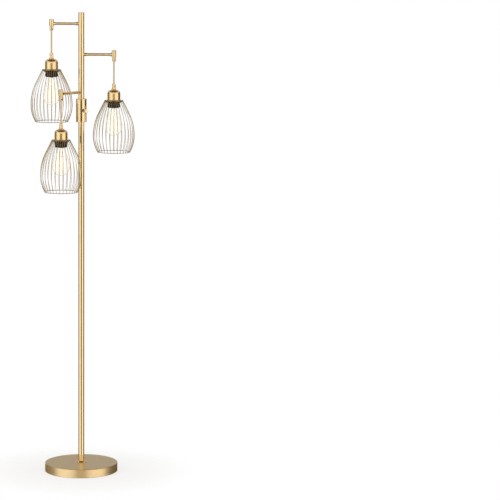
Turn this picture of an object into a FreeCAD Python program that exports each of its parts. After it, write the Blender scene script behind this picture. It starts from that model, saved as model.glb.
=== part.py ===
"""A tree floor lamp: a weighted round base, a four-piece pole with a switch housing,
and three short arms that each carry a wire cage shade on a short cord.

The origin is the centre of the base's underside, on the pole's axis, where it meets the floor.
+Z points up, +X to the right seen from the front, and -Y towards the viewer. Millimetres.
"""

import FreeCAD, Part
import math
import os
import re

import Sketcher

Vector = FreeCAD.Vector

# ---------------------------------------------------------------------------
# Driving dimensions. Lengths in mm, angles in degrees.
# ---------------------------------------------------------------------------
SIZES = {
    # the whole lamp
    "total_height": 1727.0,
    "fit_gap": 0.15,  # radial clearance between pieces that fit into each other
    "edge_break": 0.4,  # small chamfer on turned edges
    # base
    "base_diameter": 273.0,
    "base_height": 32.0,
    "cover_wall": 1.2,
    "cover_round": 2.2,
    "rim_lift": 1.0,  # the cover's rim stays this far above the floor
    "pad_thickness": 2.5,
    "pad_inset": 0.5,
    "weight_inset": 0.5,
    "weight_chamfer": 3.0,
    "recess_diameter": 38.0,
    "recess_depth": 17.5,
    "channel_width": 13.0,
    "channel_depth": 13.0,
    "gland_drop": 22.5,  # from the base's top down to the gland's axis
    "gland_barrel": 9.8,
    "gland_bore": 6.4,
    "gland_flange": 14.0,
    "gland_flange_depth": 2.4,
    "gland_reach": 7.0,
    "collar_diameter": 40.0,
    "collar_rise": 6.0,
    "collar_rim": 0.9,
    "collar_lip": 1.8,
    "collar_flare": 16.0,
    # pole
    "pole_diameter": 22.0,
    "pole_wall": 1.2,
    "plug_length": 12.0,
    "joiner_length": 44.0,
    "joiner_bore": 10.0,
    "cap_height": 4.0,
    "cap_plug": 10.0,
    "cap_round": 1.0,
    # nipples and nuts that clamp the base and the switch housing to the pole
    "nipple_diameter": 10.0,
    "nipple_bore": 6.8,
    "nipple_spare": 1.0,
    "nut_flats": 14.0,
    "nut_height": 5.0,
    # switch housing
    "housing_diameter": 39.3,
    "housing_height": 86.5,
    "housing_wall": 1.2,
    "housing_rim": 4.0,
    "housing_spigot": 5.0,
    "housing_below_arm": 24.0,
    # rotary switch
    "switch_azimuth": -62.0,
    "switch_diameter": 22.0,
    "switch_depth": 13.0,
    "switch_back": -4.0,
    "neck_diameter": 9.5,
    "neck_reach": 28.0,
    "ring_nut_diameter": 12.6,
    "ring_nut_depth": 5.0,
    "ring_nut_gap": 0.2,
    "shaft_diameter": 5.0,
    "shaft_running_gap": 0.06,
    "shaft_depth": 19.0,
    "shaft_end_gap": 0.4,
    "knob_diameter": 13.7,
    "knob_length": 13.4,
    "knob_gap": 0.6,
    "knob_round": 0.9,
    "knob_face": 1.8,
    "flute_diameter": 1.0,
    "flute_count": 28.0,
    # arms
    "arm_1_drop": 42.0,  # from the pole's top to the top arm
    "arm_2_below": 113.0,  # from the top arm down to the second
    "arm_3_below": 140.0,  # from the second arm down to the third
    "arm_1_reach": 110.0,
    "arm_2_reach": 120.5,
    "arm_3_reach": 120.5,
    "arm_1_azimuth": 180.0,
    "arm_2_azimuth": 0.0,
    "arm_3_azimuth": 232.0,
    "arm_diameter": 9.5,
    "arm_wall": 1.0,
    "arm_entry": 3.0,  # how far an arm's tube goes into the pole and into its hub
    "ferrule_diameter": 11.8,
    "ferrule_length": 11.7,
    "ferrule_taper": 2.4,
    "ferrule_lip": 0.5,
    # hub and cord grips
    "hub_diameter": 16.6,
    "hub_rise": 16.4,
    "hub_drop": 8.5,
    "hub_cavity": 10.0,
    "hub_cavity_rise": 6.0,
    "hub_round": 1.0,
    "hub_flare_diameter": 13.4,
    "hub_flare_length": 5.5,
    "grip_top_diameter": 14.2,
    "grip_mouth_diameter": 12.6,
    "grip_length": 17.1,
    "grip_spigot": 7.0,
    "grip_spigot_diameter": 9.4,
    "grip_flare": 0.9,
    "screw_diameter": 2.8,
    "screw_height": 5.2,
    "screw_azimuth": 300.0,
    "screw_socket": 1.4,
    # pendant cord and the grip at its lower end
    "cord_diameter": 5.7,
    "cord_length": 82.9,
    "cord_gap": 0.35,
    "lower_grip_length": 18.9,
    "lower_grip_diameter": 13.5,
    "bead_diameter": 19.4,
    "bead_height": 4.4,
    "spigot_length": 16.2,
    # socket cup
    "cup_height": 37.2,
    "cup_diameter": 48.2,
    "cup_flat_diameter": 25.0,
    "cup_shoulder": 13.0,
    "cup_wall": 1.2,
    "cup_bead": 1.2,
    # cage shade
    "plate_diameter": 71.0,
    "plate_thickness": 1.8,
    "wire_diameter": 1.5,
    "wire_count": 32.0,
    "wire_top_radius": 34.1,
    "cone_angle": 26.7,
    "cone_depth": 44.0,
    "belly_depth": 130.0,
    "mouth_radius": 61.0,
    "mouth_depth": 190.2,
    "ring_wire": 2.0,
    # lamp holder
    "screw_ring_diameter": 64.0,
    "screw_ring_edge": 2.4,
    "screw_ring_taper": 8.5,
    "skirt_diameter": 46.8,
    "holder_depth": 26.0,  # how far the lamp holder hangs below the plate
    "skirt_chamfer": 3.0,
    "holder_thread_diameter": 40.0,
    "holder_top_diameter": 44.0,
    "holder_rise": 22.2,
    "holder_bore": 30.0,
    "holder_roof": 11.4,
    "holder_entry": 6.0,
    "liner_diameter": 28.6,
    "liner_wall": 0.6,
    "liner_depth": 20.0,
    # bulb
    "cap_thread_diameter": 26.2,
    "cap_thread_depth": 0.8,
    "cap_thread_pitch": 3.6,
    "cap_wall": 0.6,
    "bulb_cap_top": 10.2,  # above the plate's underside
    "bulb_cap_bottom": 16.0,  # below the plate's underside
    "bulb_tip_diameter": 9.0,
    "bulb_tip_height": 3.0,
    "bulb_radius": 31.5,
    "bulb_bottom": 130.0,
    "bulb_side_radius": 113.0,
    "bulb_shoulder_angle": 32.4,
    "bulb_neck_blend": 10.3,
    "bulb_wall": 0.9,
    # leads that the pole and the arms hold
    "feed_lead_diameter": 4.8,
    "branch_lead_diameter": 2.0,
    "branch_lead_offset": 1.8,
    "feed_bend": 6.0,
    "pole_bend": 6.0,
    "hub_bend": 4.0,
    "lead_end_gap": 0.2,
}

# ---------------------------------------------------------------------------
# Derived values, each written once in terms of the driving dimensions.
# ---------------------------------------------------------------------------
BASE_RADIUS = "base_diameter / 2"
COVER_INSIDE = "(base_diameter / 2 - cover_wall)"
RECESS_TOP = "(pad_thickness + recess_depth)"
POLE_RADIUS = "pole_diameter / 2"
POLE_BORE = "(pole_diameter / 2 - pole_wall)"
NIPPLE_RADIUS = "nipple_diameter / 2"
NIPPLE_HOLE = "(nipple_diameter / 2 + fit_gap)"
NIPPLE_LENGTH = "(plug_length + base_height - pad_thickness - recess_depth + nut_height + nipple_spare)"
ARM_HEIGHT = {
    1: "(total_height - arm_1_drop)",
    2: "(total_height - arm_1_drop - arm_2_below)",
    3: "(total_height - arm_1_drop - arm_2_below - arm_3_below)",
}
HOUSING_TOP = f"({ARM_HEIGHT[3]} - housing_below_arm)"
HOUSING_BOTTOM = f"({HOUSING_TOP} - housing_height)"
HOUSING_INSIDE = "(housing_diameter / 2 - housing_wall)"
HOUSING_CAP = "(housing_rim + housing_spigot)"
SWITCH_HEIGHT = f"({HOUSING_TOP} - housing_height / 2)"
SWITCH_FRONT = "(switch_back + switch_depth)"
NECK_RADIUS = "neck_diameter / 2"
KNOB_BACK = "(neck_reach + knob_gap)"
KNOB_FRONT = "(neck_reach + knob_gap + knob_length)"
SECTION_COUNT = 3
CAP_RIDGES = 5
SECTION_LENGTH = f"(({HOUSING_BOTTOM} - base_height) / {SECTION_COUNT})"
ARM_TUBE_RADIUS = "arm_diameter / 2"
ARM_TUBE_HOLE = "(arm_diameter / 2 + fit_gap)"
HUB_RADIUS = "hub_diameter / 2"
CORD_RADIUS = "cord_diameter / 2"
CORD_HOLE = "(cord_diameter / 2 + cord_gap)"
# heights on a pendant head are counted down from the mouth of its lower cord grip
BEAD_TOP = "lower_grip_length"
CUP_TOP = "(lower_grip_length + bead_height)"
PLATE_TOP = "(lower_grip_length + bead_height + cup_height)"
PLATE_BOTTOM = "(lower_grip_length + bead_height + cup_height + plate_thickness)"

doc = FreeCAD.newDocument("tree_floor_lamp")
sheet = doc.addObject("Spreadsheet::Sheet", "Sizes")
for row, (alias, amount) in enumerate(SIZES.items(), start=1):
    sheet.set(f"A{row}", alias)
    sheet.set(f"B{row}", str(amount))
    sheet.setAlias(f"B{row}", alias)
doc.recompute()

nodes = []


# ---------------------------------------------------------------------------
# Helpers
# ---------------------------------------------------------------------------
def bound(expression):
    """The expression with each size's alias written as a reference to the sheet."""
    return re.sub(r"[a-z][a-z_0-9]*", lambda word: refer(word.group()), str(expression))


def refer(word):
    return f"Sizes.{word}" if word in SIZES else word


def number(expression):
    """What an expression comes to at the sheet's present sizes."""
    return float(sheet.evalExpression(bound(expression)))


def keep(obj, name):
    """Names an object as one of the lamp's own pieces."""
    obj.Label = name
    nodes.append(obj)
    return obj


def place(obj, height="0", azimuth="0", reach="0"):
    """Stands an object at a height, turned to an azimuth, at a distance from the pole's axis."""
    obj.Placement = FreeCAD.Placement(Vector(), FreeCAD.Rotation(Vector(0, 0, 1), 1))
    obj.setExpression("Placement.Base.x", bound(f"({reach}) * cos(({azimuth}) * 1 deg)"))
    obj.setExpression("Placement.Base.y", bound(f"({reach}) * sin(({azimuth}) * 1 deg)"))
    obj.setExpression("Placement.Base.z", bound(height))
    obj.setExpression("Placement.Rotation.Angle", bound(f"({azimuth}) * 1 deg"))
    return obj


def origin_feature(body, role):
    return next(f for f in body.Origin.OriginFeatures if f.Role == role)


def new_sketch(body, name, plane="XZ_Plane"):
    sketch = body.newObject("Sketcher::SketchObject", name)
    sketch.AttachmentSupport = [(origin_feature(body, plane), "")]
    sketch.MapMode = "FlatFace"
    return sketch


def bend_centre(start, end, radius):
    """The centre of the shorter arc from start to end, counter-clockwise if radius is above 0."""
    middle = (start + end) * 0.5
    along = end - start
    rise = math.sqrt(max(radius**2 - (along.Length / 2) ** 2, 0.0))
    side = Vector(-along.y, along.x, 0).normalize() * math.copysign(rise, radius)
    return middle + side


def draw_outline(sketch, points):
    """Draws a closed outline whose corners are tied to the sheet.

    A point is (across, up), or (across, up, bend) where an arc of radius bend leads to it from
    the point before. A bend below 0 turns clockwise.
    """
    count = len(points)
    spots = [Vector(number(p[0]), number(p[1]), 0) for p in points]
    ends = []
    for i in range(count):
        start, end = spots[i - 1], spots[i]
        if len(points[i]) == 2:
            sketch.addGeometry(Part.LineSegment(start, end), False)
            ends.append((1, 2))
            continue
        radius = number(points[i][2])
        centre = bend_centre(start, end, radius)
        first, last = (start, end) if radius > 0 else (end, start)
        angles = [math.atan2((p - centre).y, (p - centre).x) for p in (first, last)]
        if angles[1] < angles[0]:
            angles[1] += 2 * math.pi
        circle = Part.Circle(centre, Vector(0, 0, 1), abs(radius))
        sketch.addGeometry(Part.ArcOfCircle(circle, *angles), False)
        ends.append((1, 2) if radius > 0 else (2, 1))
    for i in range(count):
        after = (i + 1) % count
        sketch.addConstraint(Sketcher.Constraint("Coincident", i, ends[i][1], after, ends[after][0]))
        tie(sketch, "DistanceX", i, ends[i][1], points[i][0], -2)
        tie(sketch, "DistanceY", i, ends[i][1], points[i][1], -1)
        if len(points[i]) == 3:
            named = sketch.addConstraint(Sketcher.Constraint("Radius", i, abs(number(points[i][2]))))
            sketch.renameConstraint(named, f"bend_{i}")
            sketch.setExpression(f"Constraints.bend_{i}", bound(f"abs({points[i][2]})"))


def tie(sketch, kind, edge, end, expression, axis):
    """Ties one coordinate of an edge's end to the sheet, or puts it on an axis where it is 0."""
    if expression == "0":
        sketch.addConstraint(Sketcher.Constraint("PointOnObject", edge, end, axis))
        return
    label = f"{kind[-1].lower()}_{edge}"
    named = sketch.addConstraint(Sketcher.Constraint(kind, -1, 1, edge, end, number(expression)))
    sketch.renameConstraint(named, label)
    sketch.setExpression(f"Constraints.{label}", bound(expression))


def turn(body, name, points, about="Z", cut=False):
    """Adds or cuts a turned form. Points are (radius, z) about Z, or (x, radius) about X."""
    sketch = new_sketch(body, name + "_outline")
    draw_outline(sketch, points)
    before = body.Shape.Volume if cut else None
    feature = body.newObject("PartDesign::Groove" if cut else "PartDesign::Revolution", name)
    feature.Profile = sketch
    feature.ReferenceAxis = (sketch, ["V_Axis" if about == "Z" else "H_Axis"])
    feature.Angle = 360
    doc.recompute()
    if cut:
        must_shrink(body, before, name)
    return feature


def must_shrink(body, before, name):
    if not body.Shape.Volume < before - 1e-3:
        raise RuntimeError(f"{name} takes nothing away from {body.Label}")


def turned_body(name, points, about="Z"):
    body = doc.addObject("PartDesign::Body", name)
    turn(body, name + "_turned", points, about)
    return body


def cross_hole(body, name, radius, height="0", azimuth="0", length="1000"):
    """Drills a round hole outwards from the body's Z axis, in the direction of an azimuth."""
    sketch = new_sketch(body, name + "_circle", "YZ_Plane")
    sketch.AttachmentOffset = FreeCAD.Placement(Vector(), FreeCAD.Rotation(Vector(0, 1, 0), 1))
    sketch.setExpression("AttachmentOffset.Base.y", bound(height))
    sketch.setExpression("AttachmentOffset.Rotation.Angle", bound(f"({azimuth}) * 1 deg"))
    sketch.addGeometry(Part.Circle(Vector(), Vector(0, 0, 1), number(radius)), False)
    sketch.addConstraint(Sketcher.Constraint("Coincident", 0, 3, -1, 1))
    sketch.addConstraint(Sketcher.Constraint("Radius", 0, number(radius)))
    sketch.renameConstraint(1, "hole_radius")
    sketch.setExpression("Constraints.hole_radius", bound(radius))
    before = body.Shape.Volume
    pocket = body.newObject("PartDesign::Pocket", name)
    pocket.Profile = sketch
    pocket.Reversed = True
    pocket.Length = number(length)
    pocket.setExpression("Length", bound(length))
    doc.recompute()
    must_shrink(body, before, name)


def group(name, members):
    """One node that holds several separate solids of the same kind."""
    compound = doc.addObject("Part::Compound", name)
    compound.Links = members
    return keep(compound, name)


def routed_wire(points, bends):
    """Straight runs through the points, joined by tangent arcs."""
    edges, start = [], points[0]
    for before, corner, after, bend in zip(points, points[1:], points[2:], bends):
        into = (corner - before).normalize()
        out = (after - corner).normalize()
        turn_angle = into.getAngle(out)
        setback = bend * math.tan(turn_angle / 2)
        first, last = corner - into * setback, corner + out * setback
        inward = (out - into).normalize()
        centre = corner + inward * (bend / math.cos(turn_angle / 2))
        middle = centre - inward * bend
        edges += [Part.LineSegment(start, first).toShape(), Part.Arc(first, middle, last).toShape()]
        start = last
    edges.append(Part.LineSegment(start, points[-1]).toShape())
    return Part.Wire(edges)


def routed_tube(points, bends, radius, name):
    """A round lead along a route, checked against its section times its length."""
    path = routed_wire(points, bends)
    section = Part.Wire(Part.makeCircle(radius, points[0], (points[1] - points[0]).normalize()))
    tube = path.makePipeShell([section], True, True)
    wanted = math.pi * radius**2 * path.Length
    print(f"{name}: length {path.Length:.1f} mm, bends {bends} mm, volume {tube.Volume / wanted:.4f} of wanted")
    if abs(tube.Volume / wanted - 1) > 0.01:
        raise RuntimeError(f"{name} has the wrong volume")
    return tube


# ---------------------------------------------------------------------------
# Base
# ---------------------------------------------------------------------------
def make_base_cover():
    """Spun shell: a flat top with a tight rounded edge and a straight side, open below."""
    inner_round = "(cover_round - cover_wall)"
    cover = turned_body("base_cover", [
        (COVER_INSIDE, "rim_lift"),
        (BASE_RADIUS, "rim_lift"),
        (BASE_RADIUS, "base_height - cover_round"),
        (f"{BASE_RADIUS} - cover_round", "base_height", "cover_round"),
        (NIPPLE_HOLE, "base_height"),
        (NIPPLE_HOLE, "base_height - cover_wall"),
        (f"{BASE_RADIUS} - cover_round", "base_height - cover_wall"),
        (COVER_INSIDE, "base_height - cover_round", f"-{inner_round}"),
    ])
    cross_hole(cover, "gland_hole", "gland_barrel / 2 + fit_gap", "base_height - gland_drop", "90",
               f"{BASE_RADIUS} + 5")
    keep(cover, "base_cover")


def make_base_weight():
    """Cast filler disc with a recess for the nut and a channel for the lead on its underside."""
    rim = f"({COVER_INSIDE} - weight_inset)"
    top = "(base_height - cover_wall)"
    weight = turned_body("base_weight", [
        ("recess_diameter / 2", "pad_thickness"),
        (rim, "pad_thickness"),
        (rim, f"{top} - weight_chamfer"),
        (f"{rim} - weight_chamfer", top),
        (NIPPLE_HOLE, top),
        (NIPPLE_HOLE, RECESS_TOP),
        ("recess_diameter / 2", RECESS_TOP),
    ])
    sketch = new_sketch(weight, "channel_section")
    draw_outline(sketch, [
        ("-channel_width / 2", "pad_thickness"),
        ("channel_width / 2", "pad_thickness"),
        ("channel_width / 2", "pad_thickness + channel_depth"),
        ("-channel_width / 2", "pad_thickness + channel_depth"),
    ])
    before = weight.Shape.Volume
    channel = weight.newObject("PartDesign::Pocket", "lead_channel")
    channel.Profile = sketch
    channel.Length = number(BASE_RADIUS)
    channel.setExpression("Length", bound(BASE_RADIUS))
    doc.recompute()
    must_shrink(weight, before, "lead_channel")
    keep(weight, "base_weight")


def make_base_pad():
    """Foam pad that closes the underside and rests on the floor."""
    edge = f"{COVER_INSIDE} - pad_inset"
    keep(turned_body("base_pad", [("0", "0"), (edge, "0"), (edge, "pad_thickness"), ("0", "pad_thickness")]),
         "base_pad")


def make_cord_gland():
    """Bushing in the back of the base that the mains lead goes through."""
    wall = BASE_RADIUS
    gland = turned_body("cord_gland", [
        (f"{wall} - gland_reach", "gland_bore / 2"),
        (f"{wall} - gland_reach", "gland_barrel / 2"),
        (f"{wall} + fit_gap", "gland_barrel / 2"),
        (f"{wall} + fit_gap", "gland_flange / 2"),
        (f"{wall} + gland_flange_depth - edge_break", "gland_flange / 2"),
        (f"{wall} + gland_flange_depth", "gland_flange / 2 - edge_break"),
        (f"{wall} + gland_flange_depth", "gland_bore / 2"),
    ], about="X")
    keep(place(gland, "base_height - gland_drop", "90"), "cord_gland")


def make_foot_collar():
    """Flared washer round the foot of the pole, on top of the base."""
    collar = turned_body("foot_collar", [
        (f"{POLE_RADIUS} + fit_gap", "0"),
        ("collar_diameter / 2", "0"),
        ("collar_diameter / 2", "collar_rim"),
        (f"{POLE_RADIUS} + fit_gap + collar_lip", "collar_rise", "-collar_flare"),
        (f"{POLE_RADIUS} + fit_gap", "collar_rise"),
    ])
    keep(place(collar, "base_height"), "foot_collar")


# ---------------------------------------------------------------------------
# Pole
# ---------------------------------------------------------------------------
def pole_tube(name, length, plug_below, plug_above):
    """A length of pole. A plugged end has a solid insert with a hole for a nipple."""
    outside = [
        (f"{POLE_RADIUS} - edge_break", "0"),
        (POLE_RADIUS, "edge_break"),
        (POLE_RADIUS, f"{length} - edge_break"),
        (f"{POLE_RADIUS} - edge_break", length),
    ]
    above = [(NIPPLE_HOLE, length), (NIPPLE_HOLE, f"{length} - plug_length"),
             (POLE_BORE, f"{length} - plug_length")]
    below = [(POLE_BORE, "plug_length"), (NIPPLE_HOLE, "plug_length"), (NIPPLE_HOLE, "0")]
    inside = above if plug_above else [(POLE_BORE, length)]
    inside = inside + (below if plug_below else [(POLE_BORE, "0")])
    return turned_body(name, outside + inside)


def make_pole_sections():
    for k in range(SECTION_COUNT):
        name = f"pole_section_{k + 1}"
        tube = pole_tube(name, SECTION_LENGTH, plug_below=k == 0, plug_above=k == SECTION_COUNT - 1)
        keep(place(tube, f"base_height + {k} * {SECTION_LENGTH}"), name)


def make_pole_joiners():
    """Sleeves hidden inside the pole, one across each joint between two sections."""
    joiners = []
    for k in range(1, SECTION_COUNT):
        sleeve = turned_body(f"pole_joiner_{k}", [
            ("joiner_bore / 2", "-joiner_length / 2"),
            (f"{POLE_BORE} - fit_gap - edge_break", "-joiner_length / 2"),
            (f"{POLE_BORE} - fit_gap", "-joiner_length / 2 + edge_break"),
            (f"{POLE_BORE} - fit_gap", "joiner_length / 2 - edge_break"),
            (f"{POLE_BORE} - fit_gap - edge_break", "joiner_length / 2"),
            ("joiner_bore / 2", "joiner_length / 2"),
        ])
        joiners.append(place(sleeve, f"base_height + {k} * {SECTION_LENGTH}"))
    group("pole_joiners", joiners)


def make_pole_upper():
    """The pole above the switch housing, drilled for the three arms."""
    length = f"(total_height - cap_height - {HOUSING_TOP})"
    tube = pole_tube("pole_upper", length, plug_below=True, plug_above=False)
    for arm in (1, 2, 3):
        cross_hole(tube, f"arm_hole_{arm}", ARM_TUBE_HOLE, f"{ARM_HEIGHT[arm]} - {HOUSING_TOP}",
                   f"arm_{arm}_azimuth", "pole_diameter")
    keep(place(tube, HOUSING_TOP), "pole_upper")


def make_pole_cap():
    cap = turned_body("pole_cap", [
        ("0", "-cap_plug"),
        (f"{POLE_BORE} - fit_gap", "-cap_plug"),
        (f"{POLE_BORE} - fit_gap", "0"),
        (f"{POLE_RADIUS} - edge_break", "0"),
        (POLE_RADIUS, "edge_break"),
        (POLE_RADIUS, "cap_height - cap_round"),
        (f"{POLE_RADIUS} - cap_round", "cap_height", "cap_round"),
        ("0", "cap_height"),
    ])
    keep(place(cap, "total_height - cap_height"), "pole_cap")


def make_nipples_and_nuts():
    """Three alike threaded nipples and nuts: below the base, and at both ends of the housing."""
    spots = [
        ("base", f"{RECESS_TOP} - nut_height", "base_height + plug_length"),
        ("below", f"{HOUSING_BOTTOM} + {HOUSING_CAP}",
         f"{HOUSING_BOTTOM} - plug_length + {NIPPLE_LENGTH}"),
        ("above", f"{HOUSING_TOP} - {HOUSING_CAP} - nut_height", f"{HOUSING_TOP} + plug_length"),
    ]
    nipples, nuts = [], []
    for where, nut_bottom, nipple_top in spots:
        nipple = turned_body(f"nipple_{where}", [
            ("nipple_bore / 2", f"-{NIPPLE_LENGTH}"),
            (f"{NIPPLE_RADIUS} - edge_break", f"-{NIPPLE_LENGTH}"),
            (NIPPLE_RADIUS, f"edge_break - {NIPPLE_LENGTH}"),
            (NIPPLE_RADIUS, "-edge_break"),
            (f"{NIPPLE_RADIUS} - edge_break", "0"),
            ("nipple_bore / 2", "0"),
        ])
        nipples.append(place(nipple, nipple_top))
        nuts.append(place(hex_nut(f"nut_{where}"), nut_bottom))
    group("threaded_nipples", nipples)
    group("lock_nuts", nuts)


def hex_nut(name):
    prism = doc.addObject("Part::Prism", name + "_prism")
    prism.Polygon = 6
    prism.setExpression("Circumradius", bound("nut_flats / 2 / cos(30 deg)"))
    prism.setExpression("Height", bound("nut_height"))
    bore = doc.addObject("Part::Cylinder", name + "_bore")
    bore.setExpression("Radius", bound(NIPPLE_HOLE))
    bore.setExpression("Height", bound("nut_height"))
    nut = doc.addObject("Part::Cut", name)
    nut.Base = prism
    nut.Tool = bore
    return nut


# ---------------------------------------------------------------------------
# Switch housing and rotary switch
# ---------------------------------------------------------------------------
def make_switch_housing():
    length = "(housing_height - 2 * housing_rim)"
    outer = "housing_diameter / 2"
    shell = turned_body("switch_housing", [
        (HOUSING_INSIDE, "0"),
        (f"{outer} - edge_break", "0"),
        (outer, "edge_break"),
        (outer, f"{length} - edge_break"),
        (f"{outer} - edge_break", length),
        (HOUSING_INSIDE, length),
    ])
    cross_hole(shell, "switch_hole", f"{NECK_RADIUS} + fit_gap", f"{length} / 2", "0", "housing_diameter")
    keep(place(shell, f"{HOUSING_BOTTOM} + housing_rim", "switch_azimuth"), "switch_housing")


def housing_cap(name, outward):
    """An end cap of the housing. outward is 1 for the top cap and -1 for the bottom one."""
    outer = "housing_diameter / 2"
    spigot = f"({HOUSING_INSIDE} - fit_gap)"
    levels = [
        (NIPPLE_HOLE, "0"),
        (f"{outer} - edge_break", "0"),
        (outer, "edge_break"),
        (outer, "housing_rim - edge_break"),
        (f"{outer} - edge_break", "housing_rim"),
        (spigot, "housing_rim"),
        (spigot, HOUSING_CAP),
        (NIPPLE_HOLE, HOUSING_CAP),
    ]
    points = [(across, up if outward < 0 or up == "0" else f"-({up})") for across, up in levels]
    return turned_body(name, points)


def make_housing_caps():
    top = place(housing_cap("housing_cap_top", 1), HOUSING_TOP)
    bottom = place(housing_cap("housing_cap_bottom", -1), HOUSING_BOTTOM)
    group("housing_caps", [bottom, top])


def make_switch():
    """Rotary switch across the housing: body with a threaded neck, ring nut, shaft and knob."""
    shaft_hole = "(shaft_diameter / 2 + shaft_running_gap)"
    shaft_start = "(neck_reach - shaft_depth)"
    body = turned_body("switch_body", [
        ("switch_back", "0"),
        ("switch_back", "switch_diameter / 2 - edge_break"),
        ("switch_back + edge_break", "switch_diameter / 2"),
        (SWITCH_FRONT, "switch_diameter / 2"),
        (SWITCH_FRONT, NECK_RADIUS),
        ("neck_reach", NECK_RADIUS),
        ("neck_reach", shaft_hole),
        (shaft_start, shaft_hole),
        (shaft_start, "0"),
    ], about="X")
    keep(place(body, SWITCH_HEIGHT, "switch_azimuth"), "switch_body")

    nut_back = "(housing_diameter / 2 + ring_nut_gap)"
    nut = turned_body("switch_ring_nut", [
        (nut_back, f"{NECK_RADIUS} + fit_gap"),
        (nut_back, "ring_nut_diameter / 2"),
        (f"{nut_back} + ring_nut_depth - edge_break", "ring_nut_diameter / 2"),
        (f"{nut_back} + ring_nut_depth", "ring_nut_diameter / 2 - edge_break"),
        (f"{nut_back} + ring_nut_depth", f"{NECK_RADIUS} + fit_gap"),
    ], about="X")
    keep(place(nut, SWITCH_HEIGHT, "switch_azimuth"), "switch_ring_nut")

    shaft_end = f"({KNOB_FRONT} - knob_face)"
    shaft = turned_body("switch_shaft", [
        (f"{shaft_start} + shaft_end_gap", "0"),
        (f"{shaft_start} + shaft_end_gap", "shaft_diameter / 2"),
        (shaft_end, "shaft_diameter / 2"),
        (shaft_end, "0"),
    ], about="X")
    keep(place(shaft, SWITCH_HEIGHT, "switch_azimuth"), "switch_shaft")

    grip_radius = "knob_diameter / 2"
    knob = turned_body("switch_knob", [
        (KNOB_BACK, "shaft_diameter / 2 + fit_gap"),
        (KNOB_BACK, f"{grip_radius} - knob_round"),
        (f"{KNOB_BACK} + knob_round", grip_radius),
        (f"{KNOB_FRONT} - knob_round", grip_radius),
        (KNOB_FRONT, f"{grip_radius} - knob_round", "-knob_round"),
        (KNOB_FRONT, "0"),
        (shaft_end, "0"),
        (shaft_end, "shaft_diameter / 2 + fit_gap"),
    ], about="X")
    add_flutes(knob)
    keep(place(knob, SWITCH_HEIGHT, "switch_azimuth"), "switch_knob")


def add_flutes(knob):
    """Fine grip flutes round the knob, short of its rounded front edge."""
    sketch = new_sketch(knob, "flute_section", "YZ_Plane")
    sketch.AttachmentOffset = FreeCAD.Placement(Vector(0, 0, 1), FreeCAD.Rotation())
    sketch.setExpression("AttachmentOffset.Base.z", bound(KNOB_BACK))
    sketch.addGeometry(Part.Circle(Vector(0, number("knob_diameter / 2"), 0), Vector(0, 0, 1),
                                   number("flute_diameter / 2")), False)
    sketch.addConstraint(Sketcher.Constraint("PointOnObject", 0, 3, -2))
    sketch.addConstraint(Sketcher.Constraint("DistanceY", -1, 1, 0, 3, number("knob_diameter / 2")))
    sketch.addConstraint(Sketcher.Constraint("Radius", 0, number("flute_diameter / 2")))
    sketch.renameConstraint(1, "flute_circle")
    sketch.renameConstraint(2, "flute_radius")
    sketch.setExpression("Constraints.flute_circle", bound("knob_diameter / 2"))
    sketch.setExpression("Constraints.flute_radius", bound("flute_diameter / 2"))
    before = knob.Shape.Volume
    flute = knob.newObject("PartDesign::Pocket", "flute")
    flute.Profile = sketch
    flute.Reversed = True
    flute.Length = number("knob_length - 2 * knob_round")
    flute.setExpression("Length", bound("knob_length - 2 * knob_round"))
    doc.recompute()
    must_shrink(knob, before, "flute")
    before = knob.Shape.Volume
    flutes = knob.newObject("PartDesign::PolarPattern", "flutes")
    flutes.Originals = [flute]
    flutes.Axis = (origin_feature(knob, "X_Axis"), [""])
    flutes.Angle = 360
    flutes.setExpression("Occurrences", bound("flute_count"))
    knob.Tip = flutes
    doc.recompute()
    must_shrink(knob, before, "flutes")


# ---------------------------------------------------------------------------
# Arms, hubs and upper cord grips
# ---------------------------------------------------------------------------
def make_arm_tubes():
    for arm in (1, 2, 3):
        inner_end = f"({POLE_BORE} - arm_entry / 2)"
        outer_end = f"(arm_{arm}_reach - {HUB_RADIUS} + arm_entry)"
        tube = turned_body(f"arm_tube_{arm}", [
            (inner_end, f"{ARM_TUBE_RADIUS} - arm_wall"),
            (inner_end, ARM_TUBE_RADIUS),
            (outer_end, ARM_TUBE_RADIUS),
            (outer_end, f"{ARM_TUBE_RADIUS} - arm_wall"),
        ], about="X")
        keep(place(tube, ARM_HEIGHT[arm], f"arm_{arm}_azimuth"), f"arm_tube_{arm}")


def arm_ferrule(arm):
    """Short sleeve where an arm meets the pole, shaped to sit on the round tube."""
    end = f"({POLE_RADIUS} + ferrule_length)"
    ferrule = turned_body(f"ferrule_{arm}", [
        (f"{POLE_BORE} / 2", ARM_TUBE_HOLE),
        (f"{POLE_BORE} / 2", "ferrule_diameter / 2"),
        (f"{end} - ferrule_taper", "ferrule_diameter / 2"),
        (end, f"{ARM_TUBE_HOLE} + ferrule_lip"),
        (end, ARM_TUBE_HOLE),
    ], about="X")
    turn(ferrule, f"ferrule_{arm}_saddle", [
        ("0", "-ferrule_diameter"),
        (f"{POLE_RADIUS} + 0.02", "-ferrule_diameter"),
        (f"{POLE_RADIUS} + 0.02", "ferrule_diameter"),
        ("0", "ferrule_diameter"),
    ], cut=True)
    return place(ferrule, ARM_HEIGHT[arm], f"arm_{arm}_azimuth")


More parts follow.
